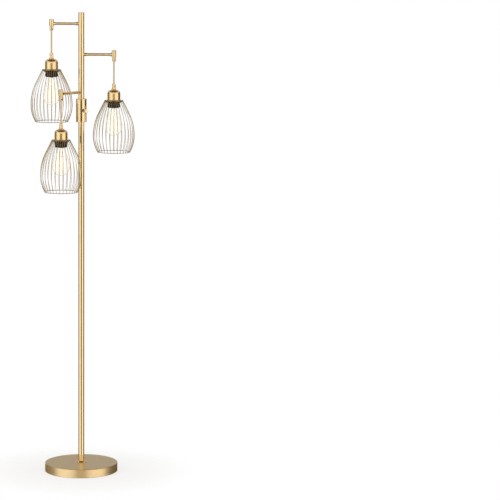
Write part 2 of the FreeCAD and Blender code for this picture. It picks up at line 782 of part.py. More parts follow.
def arm_hub(arm):
    """Upright hub at an arm's end, with a flared boss for the tube and a cavity for the lead."""
    hub = turned_body(f"hub_{arm}", [
        ("0", "-hub_drop"),
        (f"{HUB_RADIUS} - edge_break", "-hub_drop"),
        (HUB_RADIUS, "edge_break - hub_drop"),
        (HUB_RADIUS, "hub_rise - hub_round"),
        (f"{HUB_RADIUS} - hub_round", "hub_rise", "hub_round"),
        ("0", "hub_rise"),
    ])
    boss_end = f"(-{HUB_RADIUS} - hub_flare_length)"
    turn(hub, f"hub_{arm}_boss", [
        ("0", "0"),
        ("0", "hub_flare_diameter / 2"),
        (f"-{HUB_RADIUS}", "hub_flare_diameter / 2"),
        (boss_end, f"{ARM_TUBE_HOLE} + ferrule_lip"),
        (boss_end, "0"),
    ], about="X")
    turn(hub, f"hub_{arm}_cavity", [
        ("0", "-hub_drop"),
        ("hub_cavity / 2", "-hub_drop"),
        ("hub_cavity / 2", "hub_cavity_rise"),
        ("0", "hub_cavity_rise"),
    ], cut=True)
    turn(hub, f"hub_{arm}_socket", [
        ("0", "0"),
        ("0", ARM_TUBE_HOLE),
        (boss_end, ARM_TUBE_HOLE),
        (boss_end, "0"),
    ], about="X", cut=True)
    return place(hub, ARM_HEIGHT[arm], f"arm_{arm}_azimuth", f"arm_{arm}_reach")


def upper_grip(arm):
    """Tapered grip screwed into the hub. Its mouth is where the cord swings."""
    grip = turned_body(f"upper_grip_{arm}", [
        (f"{CORD_HOLE} + grip_flare", "0"),
        ("grip_mouth_diameter / 2 - edge_break", "0"),
        ("grip_mouth_diameter / 2", "edge_break"),
        ("grip_top_diameter / 2", "grip_length"),
        ("grip_spigot_diameter / 2", "grip_length"),
        ("grip_spigot_diameter / 2", "grip_length + grip_spigot"),
        (CORD_HOLE, "grip_length + grip_spigot"),
        (CORD_HOLE, "grip_flare"),
    ])
    cross_hole(grip, f"upper_grip_{arm}_screw_hole", "screw_diameter / 2 + fit_gap", "screw_height",
               f"screw_azimuth - arm_{arm}_azimuth", "grip_top_diameter")
    return place(grip, pivot_height(arm), f"arm_{arm}_azimuth", f"arm_{arm}_reach")


def pivot_height(arm):
    """Where a pendant's cord leaves the upper grip: the centre that it swings about."""
    return f"({ARM_HEIGHT[arm]} - hub_drop - grip_length)"


def grub_screw(arm):
    tip = f"({CORD_HOLE} + fit_gap)"
    head = "(grip_mouth_diameter / 2 + fit_gap)"
    screw = turned_body(f"grub_screw_{arm}", [
        (tip, "0"),
        (tip, "screw_diameter / 2"),
        (head, "screw_diameter / 2"),
        (head, "screw_socket / 2"),
        (f"{head} - screw_socket", "screw_socket / 2"),
        (f"{head} - screw_socket", "0"),
    ], about="X")
    place(screw, f"{pivot_height(arm)} + screw_height", "screw_azimuth")
    spot = f"arm_{arm}_reach", f"arm_{arm}_azimuth"
    screw.setExpression("Placement.Base.x", bound(f"{spot[0]} * cos({spot[1]} * 1 deg)"))
    screw.setExpression("Placement.Base.y", bound(f"{spot[0]} * sin({spot[1]} * 1 deg)"))
    return screw


def make_arm_fittings():
    group("arm_ferrules", [arm_ferrule(arm) for arm in (1, 2, 3)])
    group("arm_hubs", [arm_hub(arm) for arm in (1, 2, 3)])
    group("upper_cord_grips", [upper_grip(arm) for arm in (1, 2, 3)])
    group("grip_screws", [grub_screw(arm) for arm in (1, 2, 3)])


# ---------------------------------------------------------------------------
# Pendants: each is a cord and a head that hangs on it
# ---------------------------------------------------------------------------
def pendant_cord():
    """Straight cord with a ball end in each grip, so that it can swing in both mouths."""
    return turned_body("pendant_cord", [
        ("0", CORD_RADIUS),
        (CORD_RADIUS, "0", f"-{CORD_RADIUS}"),
        (CORD_RADIUS, "-cord_length"),
        ("0", f"-cord_length - {CORD_RADIUS}", f"-{CORD_RADIUS}"),
    ])


def lower_grip():
    """Grip at the cord's lower end, with a half-round bead and a spigot into the lamp holder."""
    spigot = "(nipple_diameter / 2)"
    grip = turned_body("lower_grip", [
        (f"{CORD_HOLE} + grip_flare", "0"),
        ("grip_mouth_diameter / 2 - edge_break", "0"),
        ("grip_mouth_diameter / 2", "-edge_break"),
        ("lower_grip_diameter / 2", f"-{BEAD_TOP}"),
        ("bead_diameter / 2 - bead_height / 2", f"-{BEAD_TOP}"),
        ("bead_diameter / 2 - bead_height / 2", f"-{CUP_TOP}", "-bead_height / 2"),
        (spigot, f"-{CUP_TOP}"),
        (spigot, f"-{CUP_TOP} - spigot_length"),
        (CORD_HOLE, f"-{CUP_TOP} - spigot_length"),
        (CORD_HOLE, "-grip_flare"),
    ])
    cross_hole(grip, "lower_grip_screw_hole", "screw_diameter / 2 + fit_gap", "-2 * screw_height",
               "screw_azimuth", "bead_diameter")
    return grip


def socket_cup():
    """Domed cup over the lamp holder, with a beaded lower edge."""
    radius = "cup_diameter / 2"
    flat = "cup_flat_diameter / 2"
    dome = f"((({radius} - {flat})^2 + cup_shoulder^2) / (2 * ({radius} - {flat})))"
    inner_flat = (f"({radius} - {dome} + sqrt(({dome} - cup_wall)^2 - (cup_shoulder - cup_wall)^2))")
    return turned_body("socket_cup", [
        (NIPPLE_HOLE, f"-{CUP_TOP}"),
        (flat, f"-{CUP_TOP}"),
        (radius, f"-{CUP_TOP} - cup_shoulder", f"-{dome}"),
        (radius, f"2 * cup_bead - {PLATE_TOP}"),
        (radius, f"-{PLATE_TOP}", "-cup_bead"),
        (f"{radius} - cup_wall", f"-{PLATE_TOP}"),
        (f"{radius} - cup_wall", f"-{CUP_TOP} - cup_shoulder"),
        (inner_flat, f"-{CUP_TOP} - cup_wall", f"({dome} - cup_wall)"),
        (NIPPLE_HOLE, f"-{CUP_TOP} - cup_wall"),
    ])


def shade_plate():
    """Flat disc that the cage's wires are welded to."""
    return turned_body("shade_plate", [
        ("holder_thread_diameter / 2 + 2 * fit_gap", f"-{PLATE_BOTTOM}"),
        ("plate_diameter / 2", f"-{PLATE_BOTTOM}"),
        ("plate_diameter / 2", f"-{PLATE_TOP} - edge_break"),
        ("plate_diameter / 2 - edge_break", f"-{PLATE_TOP}"),
        ("holder_thread_diameter / 2 + 2 * fit_gap", f"-{PLATE_TOP}"),
    ])


def screw_ring():
    """Black ring that screws up the lamp holder and clamps the shade's plate."""
    bore = "(holder_thread_diameter / 2 + fit_gap)"
    return turned_body("screw_ring", [
        (bore, f"-{PLATE_BOTTOM}"),
        ("screw_ring_diameter / 2", f"-{PLATE_BOTTOM}"),
        ("screw_ring_diameter / 2", f"-{PLATE_BOTTOM} - screw_ring_edge"),
        ("skirt_diameter / 2", f"-{PLATE_BOTTOM} - screw_ring_taper"),
        ("skirt_diameter / 2", f"-{PLATE_BOTTOM} - holder_depth + skirt_chamfer"),
        (f"{bore} + edge_break", f"-{PLATE_BOTTOM} - holder_depth"),
        (bore, f"-{PLATE_BOTTOM} - holder_depth + edge_break"),
    ])


def lamp_holder():
    """Moulded lamp holder: a thread below, a shoulder on the plate and a blind entry above."""
    thread = "holder_thread_diameter / 2"
    shoulder = "holder_top_diameter / 2"
    bore = "holder_bore / 2"
    return turned_body("lamp_holder", [
        (bore, f"-{PLATE_BOTTOM} - holder_depth + edge_break"),
        (thread, f"-{PLATE_BOTTOM} - holder_depth + edge_break"),
        (thread, f"-{PLATE_TOP}"),
        (shoulder, f"-{PLATE_TOP}"),
        (shoulder, f"holder_rise - {PLATE_TOP}"),
        (NIPPLE_HOLE, f"holder_rise - {PLATE_TOP}"),
        (NIPPLE_HOLE, f"holder_rise - holder_entry - {PLATE_TOP}"),
        ("0", f"holder_rise - holder_entry - {PLATE_TOP}"),
        ("0", f"holder_roof - {PLATE_BOTTOM}"),
        (bore, f"holder_roof - {PLATE_BOTTOM}"),
    ])


def holder_liner():
    """Brass screw shell inside the lamp holder, closed above by its contact plate."""
    outer = "liner_diameter / 2"
    top = f"holder_roof - fit_gap - {PLATE_BOTTOM}"
    return turned_body("holder_liner", [
        (f"{outer} - liner_wall", f"-{PLATE_BOTTOM} - liner_depth"),
        (outer, f"-{PLATE_BOTTOM} - liner_depth"),
        (outer, top),
        ("0", top),
        ("0", f"{top} - liner_wall"),
        (f"{outer} - liner_wall", f"{top} - liner_wall"),
    ])


def bulb_cap():
    """Screw cap of the bulb: ridges stand for its thread, with a contact on top."""
    crest = "cap_thread_diameter / 2"
    root = f"({crest} - cap_thread_depth)"
    bottom = f"(-{PLATE_BOTTOM} - bulb_cap_bottom)"
    top = f"(bulb_cap_top - {PLATE_BOTTOM})"
    roof = f"({bottom} + {CAP_RIDGES} * cap_thread_pitch - cap_wall)"
    points = [("0", bottom), (root, bottom)]
    for ridge in range(CAP_RIDGES):
        points.append((crest, f"{bottom} + ({ridge} + 0.5) * cap_thread_pitch"))
        points.append((root, f"{bottom} + ({ridge} + 1) * cap_thread_pitch"))
    points += [
        ("bulb_tip_diameter / 2", f"{top} - bulb_tip_height"),
        ("bulb_tip_diameter / 2", f"{top} - edge_break"),
        ("bulb_tip_diameter / 2 - edge_break", top),
        ("0", top),
    ]
    cap = turned_body("bulb_cap", points)
    turn(cap, "bulb_cap_hollow", [
        ("0", bottom),
        (f"{root} - cap_wall", bottom),
        (f"{root} - cap_wall", roof),
        ("0", roof),
    ], cut=True)
    return cap


def bulb_outline(inset):
    """Half of the teardrop: round bottom, long curved side, and a blend into a straight neck."""
    centre = f"(-{PLATE_BOTTOM} - bulb_bottom + bulb_radius)"
    side_centre = "(bulb_radius - bulb_side_radius)"
    reach = "(bulb_side_radius + bulb_neck_blend)"
    neck = f"({side_centre} + {reach} * cos(bulb_shoulder_angle * 1 deg) - bulb_neck_blend - {inset})"
    shoulder = (
        f"({side_centre} + (bulb_side_radius - {inset}) * cos(bulb_shoulder_angle * 1 deg))",
        f"({centre} + (bulb_side_radius - {inset}) * sin(bulb_shoulder_angle * 1 deg))",
    )
    top = f"(-{PLATE_BOTTOM} - bulb_cap_bottom)"
    return [
        ("0", top),
        (neck, top),
        (neck, f"({centre} + {reach} * sin(bulb_shoulder_angle * 1 deg))"),
        (*shoulder, f"(bulb_neck_blend + {inset})"),
        (f"(bulb_radius - {inset})", centre, f"-(bulb_side_radius - {inset})"),
        ("0", f"({centre} - bulb_radius + {inset})", f"-(bulb_radius - {inset})"),
    ]


def bulb_glass():
    """Clear teardrop envelope, hollow and open at its neck."""
    glass = turned_body("bulb_glass", bulb_outline("0"))
    turn(glass, "bulb_hollow", bulb_outline("bulb_wall"), cut=True)
    return glass


def cage_wire_spine(body_name):
    """One wire's line: a straight run off the plate, then two arcs that meet at the belly."""
    sketch = doc.addObject("Sketcher::SketchObject", body_name)
    sketch.Placement = FreeCAD.Placement(Vector(), FreeCAD.Rotation(Vector(1, 0, 0), 90))
    start = ("wire_top_radius", "-wire_diameter / 2 * sin(cone_angle * 1 deg)")
    cone_end = ("(wire_top_radius + cone_depth * tan(cone_angle * 1 deg))", "(-cone_depth)")
    upper = "((belly_depth - cone_depth) / sin(cone_angle * 1 deg))"
    belly = (f"({cone_end[0]} + {upper} * (1 - cos(cone_angle * 1 deg)))", "(-belly_depth)")
    across, down = f"({belly[0]} - mouth_radius)", "(mouth_depth - belly_depth)"
    lower = f"(({across}^2 + {down}^2) / (2 * {across}))"
    mouth = ("mouth_radius", "-mouth_depth")
    draw_path(sketch, [start, cone_end, (*belly, f"-{upper}"), (*mouth, f"-{lower}")])
    return sketch


def draw_path(sketch, points):
    """Draws an open path in the same notation as an outline."""
    spots = [Vector(number(p[0]), number(p[1]), 0) for p in points]
    starts = []
    for i in range(1, len(points)):
        if len(points[i]) == 2:
            sketch.addGeometry(Part.LineSegment(spots[i - 1], spots[i]), False)
            starts.append((1, 2))
            continue
        radius = number(points[i][2])
        centre = bend_centre(spots[i - 1], spots[i], radius)
        circle = Part.Circle(centre, Vector(0, 0, 1), abs(radius))
        low, high = [math.atan2((p - centre).y, (p - centre).x) for p in (spots[i], spots[i - 1])]
        sketch.addGeometry(Part.ArcOfCircle(circle, low, high), False)
        starts.append((2, 1))
    tie(sketch, "DistanceX", 0, 1, points[0][0], -2)
    sketch.renameConstraint(0, "x_start")
    tie(sketch, "DistanceY", 0, 1, points[0][1], -1)
    sketch.renameConstraint(1, "y_start")
    for i in range(len(points) - 1):
        tie(sketch, "DistanceX", i, starts[i][1], points[i + 1][0], -2)
        tie(sketch, "DistanceY", i, starts[i][1], points[i + 1][1], -1)
        if i + 1 < len(starts):
            sketch.addConstraint(Sketcher.Constraint("Coincident", i, starts[i][1], i + 1, starts[i + 1][0]))
        if len(points[i + 1]) == 3:
            named = sketch.addConstraint(Sketcher.Constraint("Radius", i, abs(number(points[i + 1][2]))))
            sketch.renameConstraint(named, f"bend_{i}")
            sketch.setExpression(f"Constraints.bend_{i}", bound(f"abs({points[i + 1][2]})"))


def cage_wire():
    """One welded wire, swept round its line. The cage repeats it round the plate."""
    spine = cage_wire_spine("cage_wire_line")
    section = doc.addObject("Part::Circle", "cage_wire_section")
    section.setExpression("Radius", bound("wire_diameter / 2"))
    section.Placement = FreeCAD.Placement(Vector(), FreeCAD.Rotation(Vector(0, 1, 0), 1))
    section.setExpression("Placement.Base.x", bound("wire_top_radius"))
    section.setExpression("Placement.Base.z", bound("-wire_diameter / 2 * sin(cone_angle * 1 deg)"))
    section.setExpression("Placement.Rotation.Angle", bound("-cone_angle * 1 deg"))
    doc.recompute()
    wire = doc.addObject("Part::Sweep", "cage_wire")
    wire.Sections = [section]
    wire.Spine = (spine, [f"Edge{n + 1}" for n in range(len(spine.Shape.Edges))])
    wire.Solid = True
    wire.Frenet = True
    doc.recompute()
    wanted = math.pi * number("wire_diameter / 2") ** 2 * spine.Shape.Length
    print(f"cage wire: length {spine.Shape.Length:.1f} mm, volume {wire.Shape.Volume / wanted:.4f} of wanted")
    return wire


def cage_wires(wire):
    """All the wires of one cage as separate solids, evenly spaced, the first facing the pole."""
    count = int(round(number("wire_count")))
    ring = doc.addObject("Part::Feature", "cage_wires")
    turned_copies = []
    for k in range(count):
        copy = wire.Shape.copy()
        copy.rotate(Vector(), Vector(0, 0, 1), 360.0 * k / count)
        turned_copies.append(copy)
    ring.Shape = Part.makeCompound(turned_copies)
    return ring


def cage_ring():
    """Round wire ring that closes the cage's mouth, welded under the wires' ends."""
    across, down = belly_to_mouth()
    lean = f"asin({down} / (({across}^2 + {down}^2) / (2 * {across})))"
    ring = doc.addObject("Part::Torus", "cage_ring")
    ring.setExpression("Radius1", bound(f"mouth_radius - ring_wire / 2 * sin({lean})"))
    ring.setExpression("Radius2", bound("ring_wire / 2"))
    return ring, f"(-{PLATE_BOTTOM} - mouth_depth - ring_wire / 2 * cos({lean}))"


def belly_to_mouth():
    """How far the wires come in, and go down, between the cage's belly and its mouth."""
    belly = ("(wire_top_radius + cone_depth * tan(cone_angle * 1 deg)"
             " + (belly_depth - cone_depth) / sin(cone_angle * 1 deg) * (1 - cos(cone_angle * 1 deg)))")
    return f"({belly} - mouth_radius)", "(mouth_depth - belly_depth)"


def make_pendants():
    wire = cage_wire()
    makers = {
        "lower_cord_grip": lower_grip,
        "socket_cup": socket_cup,
        "shade_plate": shade_plate,
        "screw_ring": screw_ring,
        "lamp_holder": lamp_holder,
        "holder_liner": holder_liner,
        "bulb_cap": bulb_cap,
        "bulb_glass": bulb_glass,
    }
    for arm in (1, 2, 3):
        spot = {"azimuth": f"arm_{arm}_azimuth", "reach": f"arm_{arm}_reach"}
        head = f"({pivot_height(arm)} - cord_length)"
        keep(place(pendant_cord(), pivot_height(arm), **spot), f"pendant_cord_{arm}")
        for name, make in makers.items():
            keep(place(make(), head, **spot), f"{name}_{arm}")
        keep(place(cage_wires(wire), f"{head} - {PLATE_BOTTOM}", **spot), f"cage_wires_{arm}")
        ring, ring_height = cage_ring()
        keep(place(ring, f"{head} + {ring_height}", **spot), f"cage_ring_{arm}")


# ---------------------------------------------------------------------------
# Leads held inside the pole and the arms
# ---------------------------------------------------------------------------
LEAD_SIDES = {1: 180.0, 2: 0.0, 3: 270.0}  # where each branch lead runs inside the pole


def make_inner_leads():
    """The feed from the gland to the switch, and a branch from the switch to each upper grip."""
    gap = number("lead_end_gap")
    switch = number(SWITCH_HEIGHT)
    half_switch = number("switch_diameter / 2")
    gland = number("base_height - gland_drop")
    feed_start = number(f"{BASE_RADIUS} - gland_reach / 2")
    leads = [routed_tube(
        [Vector(0, feed_start, gland), Vector(0, 0, gland), Vector(0, 0, switch - half_switch - gap)],
        [number("feed_bend")], number("feed_lead_diameter / 2"), "feed lead")]
    for arm in (1, 2, 3):
        side = math.radians(LEAD_SIDES[arm])
        offset = number("branch_lead_offset")
        x, y = offset * math.cos(side), offset * math.sin(side)
        height = number(ARM_HEIGHT[arm])
        aim = math.radians(number(f"arm_{arm}_azimuth"))
        reach = number(f"arm_{arm}_reach")
        end = Vector(reach * math.cos(aim), reach * math.sin(aim), height)
        stop = number(f"{pivot_height(arm)} + {CORD_RADIUS} + cord_gap")
        leads.append(routed_tube(
            [Vector(x, y, switch + half_switch + gap), Vector(x, y, height), end, Vector(end.x, end.y, stop)],
            [number("pole_bend"), number("hub_bend")], number("branch_lead_diameter / 2"), f"branch lead {arm}"))
    inner = doc.addObject("Part::Feature", "inner_leads")
    inner.Shape = Part.makeCompound(leads)
    inner.Placement = FreeCAD.Placement()
    keep(inner, "inner_leads")


# ---------------------------------------------------------------------------
# Build, check and write
# ---------------------------------------------------------------------------
def check_document():
    doc.recompute()
    for obj in doc.Objects:
        if "Invalid" in obj.State or "Error" in obj.State:
            raise RuntimeError(f"{obj.Name} failed: {obj.State}")
    for node in nodes:
        if node.Shape.isNull() or not node.Shape.isValid() or not node.Shape.Solids:
            raise RuntimeError(f"{node.Label} has no valid solid")


def write_parts():
    os.makedirs("parts", exist_ok=True)
    for node in nodes:
        node.Shape.exportStep(f"parts/{node.Label}.step")
    solids = sum(len(node.Shape.Solids) for node in nodes)
    print(f"{len(nodes)} nodes with {solids} solids written")


make_base_cover()
make_base_weight()
make_base_pad()
make_cord_gland()
make_foot_collar()
make_pole_sections()
make_pole_joiners()
make_pole_upper()
make_pole_cap()
make_nipples_and_nuts()
make_switch_housing()
make_housing_caps()
make_switch()
make_arm_tubes()
make_arm_fittings()
make_pendants()
make_inner_leads()
check_document()
write_parts()
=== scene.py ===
# %% [markdown]
# # A gold tree floor lamp
# This lesson dresses a lamp that was already built as solids: a straight pole on a heavy round
# base, three short arms, and three wire cages that hang from the arms on cords, each round a clear
# bulb. The solids give every size. What is left is what the eye sees: how the cords run, how the
# gold is brushed, the glass of the bulbs, and a few pieces that are too small or too thin for the
# solids. The imported model is loaded first.

import math

import bmesh
import bpy
from mathutils import Matrix, Vector


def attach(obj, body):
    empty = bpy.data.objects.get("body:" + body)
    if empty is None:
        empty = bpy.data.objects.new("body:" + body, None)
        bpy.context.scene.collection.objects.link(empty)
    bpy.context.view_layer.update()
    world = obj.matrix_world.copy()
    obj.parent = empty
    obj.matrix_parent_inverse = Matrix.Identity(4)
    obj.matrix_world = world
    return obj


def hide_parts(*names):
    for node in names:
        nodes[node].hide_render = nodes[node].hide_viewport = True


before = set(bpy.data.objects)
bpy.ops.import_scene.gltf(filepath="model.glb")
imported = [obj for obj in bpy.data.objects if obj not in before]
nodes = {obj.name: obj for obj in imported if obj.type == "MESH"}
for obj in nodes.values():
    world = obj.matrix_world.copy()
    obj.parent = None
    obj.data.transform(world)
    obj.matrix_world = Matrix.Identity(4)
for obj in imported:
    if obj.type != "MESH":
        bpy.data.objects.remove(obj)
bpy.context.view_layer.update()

# %% [markdown]
# ## Camera
# The lines of the photograph hardly draw together, as with a long lens from almost nine metres, and
# it looks slightly down, from a little above the top of the lamp. The lamp stands left of the
# middle of the picture. Moving the lens sideways (shift) would do that too, but the shift stays in
# every other view and pushes the lamp out of them, so the camera is turned instead. A turned camera
# makes an upright pole lean by half a degree, and a roll of the same size takes that out again.

# %% Camera
CAMERA_PLACE = (0.007, -8.772, 2.018)
TURN, DOWN, ROLL = 4.081, 7.619, 0.551  # degrees
LENS, SENSOR_WIDTH = 169.84, 36  # millimetres


def aim(turn, down, roll):
    """The camera's three directions: right, up and backwards, as one rotation."""
    turn, down, roll = (math.radians(a) for a in (turn, down, roll))
    ahead = Vector((math.sin(turn) * math.cos(down), math.cos(turn) * math.cos(down),
                    -math.sin(down)))
    level = ahead.cross(Vector((0, 0, 1))).normalized()
    upright = level.cross(ahead)
    right = level * math.cos(roll) + upright * math.sin(roll)
    up = upright * math.cos(roll) - level * math.sin(roll)
    return Matrix((right, up, -ahead)).transposed()


camera_data = bpy.data.cameras.new("camera")
camera_data.sensor_width = SENSOR_WIDTH
camera_data.lens = LENS
camera = bpy.data.objects.new("camera", camera_data)
camera.matrix_world = Matrix.Translation(CAMERA_PLACE) @ aim(TURN, DOWN, ROLL).to_4x4()
bpy.context.scene.collection.objects.link(camera)
bpy.context.scene.camera = camera
print("camera at", [round(v, 3) for v in camera.matrix_world.translation], "lens", LENS)

# %% [markdown]
# ## The three hanging cords
# Each cage hangs on its own supply cord, 83 mm of it between the grip under the arm and the grip
# on the socket cup. The weight of the shade keeps it straight. A tube mesh would do, but a curve
# is easier to bend, and its line is exactly the cord's centre, which can be measured. Two more
# points near the grips keep the ends straight. The thickness is given as the radius of the points,
# because a curve's box is its points' box grown by that radius. A small rounded seat at each end
# fills the mouth of its grip, so that nothing opens there when the cord leans over.

# %% Where the arms end
# Each arm's reach, the azimuth that it points to in degrees, and its height.
ARMS = {1: (0.110, 180.0, 1.685), 2: (0.1205, 0.0, 1.572), 3: (0.1205, 232.0, 1.432)}
GRIP_MOUTH = 0.0256  # from an arm's axis down to the mouth of its grip
CORD_LENGTH = 0.0829
CORD_THICKNESS = 0.0057


def under_arm(arm, below_mouth=0.0):
    """A point on the line of one pendant, so far below the mouth of its upper grip."""
    reach, azimuth, height = ARMS[arm]
    a = math.radians(azimuth)
    return Vector((reach * math.cos(a), reach * math.sin(a), height - GRIP_MOUTH - below_mouth))


for arm in ARMS:
    print("pendant", arm, [round(v, 4) for v in under_arm(arm)])

# %% Cords
STRAIGHT_END = 6 * CORD_THICKNESS


def add_object(name, data, body):
    """Puts a new piece into the scene, riding on a body of the lamp."""
    piece = bpy.data.objects.new(name, data)
    bpy.context.scene.collection.objects.link(piece)
    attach(piece, body)
    return piece


def cord_curve(name, points, thickness):
    """A round cord whose centre line is one smooth curve, steered by the points."""
    curve = bpy.data.curves.new(name, "CURVE")
    curve.dimensions = "3D"
    curve.bevel_depth = 1  # times the radius of each point
    curve.bevel_resolution = 7
    curve.resolution_u = 16
    curve.use_fill_caps = True
    spline = curve.splines.new("NURBS")
    spline.points.add(len(points) - 1)
    for place, point in zip(spline.points, points):
        place.co = (*point, 1)
        place.radius = thickness / 2
    spline.order_u = 3
    spline.use_endpoint_u = True
    return curve


def round_seats(name, places, radius):
    """Rounded ends where a cord goes into its grips."""
    mesh, shell = bpy.data.meshes.new(name), bmesh.new()
    for place in places:
        bmesh.ops.create_uvsphere(shell, u_segments=32, v_segments=20, radius=radius,
                                  matrix=Matrix.Translation(place))
    for face in shell.faces:
        face.smooth = True
    shell.to_mesh(mesh)
    shell.free()
    return mesh


cords = {}
for arm in ARMS:
    route = [under_arm(arm, below)
             for below in (0, STRAIGHT_END, CORD_LENGTH - STRAIGHT_END, CORD_LENGTH)]
    cord = add_object(f"hanging_cord_{arm}",
                      cord_curve(f"hanging_cord_{arm}", route, CORD_THICKNESS),
                      f"cord_{arm}")
    seats = add_object(f"cord_seats_{arm}",
                       round_seats(f"cord_seats_{arm}", (route[0], route[-1]), CORD_THICKNESS / 2),
                       f"cord_{arm}")
    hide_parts(f"pendant_cord_{arm}")
    cords[arm] = (cord, seats)
print("cords:", len(cords), "each", CORD_LENGTH, "m long")

# %% [markdown]
# ## Background and studio light
# The photograph has a pure white background, but the lamp must not be flooded with white light to
# get it. The world therefore has two strengths: rays from the camera, and rays that a polished or
# clear surface sends on, see plain white, while everything that lights the lamp is dimmer.

# %% World
FILL_LIGHT = 0.55
bpy.context.scene.view_settings.view_transform = "Standard"  # a colour comes out as it is written


def new_node(tree, kind, **inputs):
    """Adds one node, with the inputs that are given by name."""
    node = tree.nodes.new(kind)
    for name, value in inputs.items():
        node.inputs[name.replace("_", " ")].default_value = value
    return node


def calculate(tree, operation, *values):
    """One sum on numbers and on what other nodes give."""
    step = tree.nodes.new("ShaderNodeMath")
    step.operation = operation
    for socket, value in zip(step.inputs, values):
        if isinstance(value, (int, float)):
            socket.default_value = value
        else:
            tree.links.new(value, socket)
    return step.outputs[0]


def mixed(tree, factor, one, two):
    """One shader where the factor is 0, and the other where it is 1."""
    mix = tree.nodes.new("ShaderNodeMixShader")
    for socket, source in zip(mix.inputs, (factor, one.outputs[0], two.outputs[0])):
        tree.links.new(source, socket)
    return mix


def seen_directly(tree):
    """1 for rays of the camera, of reflections and of clear glass, 0 for rays that gather light."""
    path = tree.nodes.new("ShaderNodeLightPath").outputs
    camera_or_polished = calculate(tree, "MAXIMUM", path["Is Camera Ray"], path["Is Glossy Ray"])
    return calculate(tree, "MAXIMUM", camera_or_polished, path["Is Transmission Ray"])


world = bpy.data.worlds.new("white_studio")
bpy.context.scene.world = world
world.use_nodes = True
tree = world.node_tree
tree.nodes.clear()
fill = new_node(tree, "ShaderNodeBackground", Color=(1, 0.99, 0.97, 1), Strength=FILL_LIGHT)
white = new_node(tree, "ShaderNodeBackground", Color=(1, 1, 1, 1), Strength=1.0)
studio = mixed(tree, seen_directly(tree), fill, white)
tree.links.new(studio.outputs[0], tree.nodes.new("ShaderNodeOutputWorld").inputs[0])
print("world: fill", FILL_LIGHT)

# %% [markdown]
# Polished metal shows little but what stands round it, tinted by its own colour. A tube looks like
# gold only when it mirrors something bright at both sides and something dark between. So the two
# jobs of studio light are kept apart. Area lamps light the lamp evenly, as softboxes do, and
# reflections can't see them. Cards do the rest: curved sheets that only reflections can see, so
# that they cast no shadow and hide nothing in other views.

# %% Softboxes
def softbox(name, azimuth, distance, height, width, tall, brightness, look_at=0.9):
    """A large area lamp. Azimuth 0 is on the camera's side, and a positive one is to the right."""
    a = math.radians(azimuth)
    lamp = bpy.data.lights.new(name, "AREA")
    lamp.shape, lamp.size, lamp.size_y = "RECTANGLE", width, tall
    lamp.energy = brightness * math.pi * width * tall
    lamp.color = (1, 0.985, 0.95)
    place = Vector((distance * math.sin(a), -distance * math.cos(a), height))
    facing = (Vector((0, 0, look_at)) - place).to_track_quat("-Z", "Y")
    box = bpy.data.objects.new(name, lamp)
    box.matrix_world = Matrix.Translation(place) @ facing.to_matrix().to_4x4()
    box.visible_glossy = False
    bpy.context.scene.collection.objects.link(box)
    return box


# Each has a name, azimuth, distance, height, width, upright size and brightness.
softboxes = [
    softbox("softbox_left", -52, 3.6, 1.3, 2.6, 3.4, 0.80),
    softbox("softbox_right", 56, 3.8, 1.3, 1.8, 3.4, 0.55),
    softbox("softbox_above", 8, 2.4, 3.9, 2.6, 2.6, 1.15, look_at=0.5),
    softbox("softbox_behind", 172, 4.0, 2.6, 2.6, 2.0, 0.45),
]
print("softboxes:", [box.name for box in softboxes])

# %% [markdown]
# The cards stand round the lamp in a ring. In front is a narrow dark one, which draws the dark
# line down the middle of every upright tube. The arms lie level, and mirror what is above and
# below it, so two light ones close it off there and give them a bright middle. All three hang far
# away, so that the dark one stays low and narrow as the arms mirror it. Beside it are bright cards
# to the left and right, the right one warmer. Dark ones follow, which draw the dark edges. Behind
# the lamp is a grey card at the height that the flat top of the base mirrors, with darker ones
# above and below it. Two dark discs, overhead and underneath, give the arms their dark edges.

# %% Cards
NEAR, FAR = 6.0, 14.0
FRONT, BRIGHT_LEFT, BRIGHT_RIGHT = (-21, 19), (-84, -21), (19, 82)  # degrees, from the front
DARK_LEFT, DARK_RIGHT, BEHIND = (-147, -84), (82, 147), (147, 213)


def card(name, azimuths, heights, colour, distance=NEAR):
    """A curved sheet round the lamp from one azimuth to another, seen only in reflections."""
    start, end = azimuths
    low, high = heights
    sheet = bmesh.new()
    steps = max(4, int((end - start) / 4))
    rows = []
    for i in range(steps + 1):
        a = math.radians(start + (end - start) * i / steps)
        x, y = distance * math.sin(a), -distance * math.cos(a)
        rows.append((sheet.verts.new((x, y, low)), sheet.verts.new((x, y, high))))
    for one, two in zip(rows, rows[1:]):
        sheet.faces.new((one[0], two[0], two[1], one[1]))
    return hang_card(name, sheet, colour)


def round_card(name, height, colour):
    """A level disc over or under the lamp, seen only in reflections."""
    sheet = bmesh.new()
    bmesh.ops.create_circle(sheet, cap_ends=True, segments=48, radius=NEAR,
                            matrix=Matrix.Translation((0, 0, height)))
    return hang_card(name, sheet, colour)


def hang_card(name, sheet, colour):
    """Puts a card into the studio, glowing in its own colour and hidden from all other rays."""
    mesh = bpy.data.meshes.new(name)
    sheet.to_mesh(mesh)
    sheet.free()
    paper = bpy.data.materials.new(name)
    paper.use_nodes = True
    tree = paper.node_tree
    tree.nodes.clear()
    glow = new_node(tree, "ShaderNodeEmission", Color=(*colour, 1), Strength=1.0)
    tree.links.new(glow.outputs[0], tree.nodes.new("ShaderNodeOutputMaterial").inputs[0])
    mesh.materials.append(paper)
    hung = bpy.data.objects.new(name, mesh)
    bpy.context.scene.collection.objects.link(hung)
    for rays in ("camera", "diffuse", "transmission", "volume_scatter", "shadow"):
        setattr(hung, f"visible_{rays}", False)
    return hung


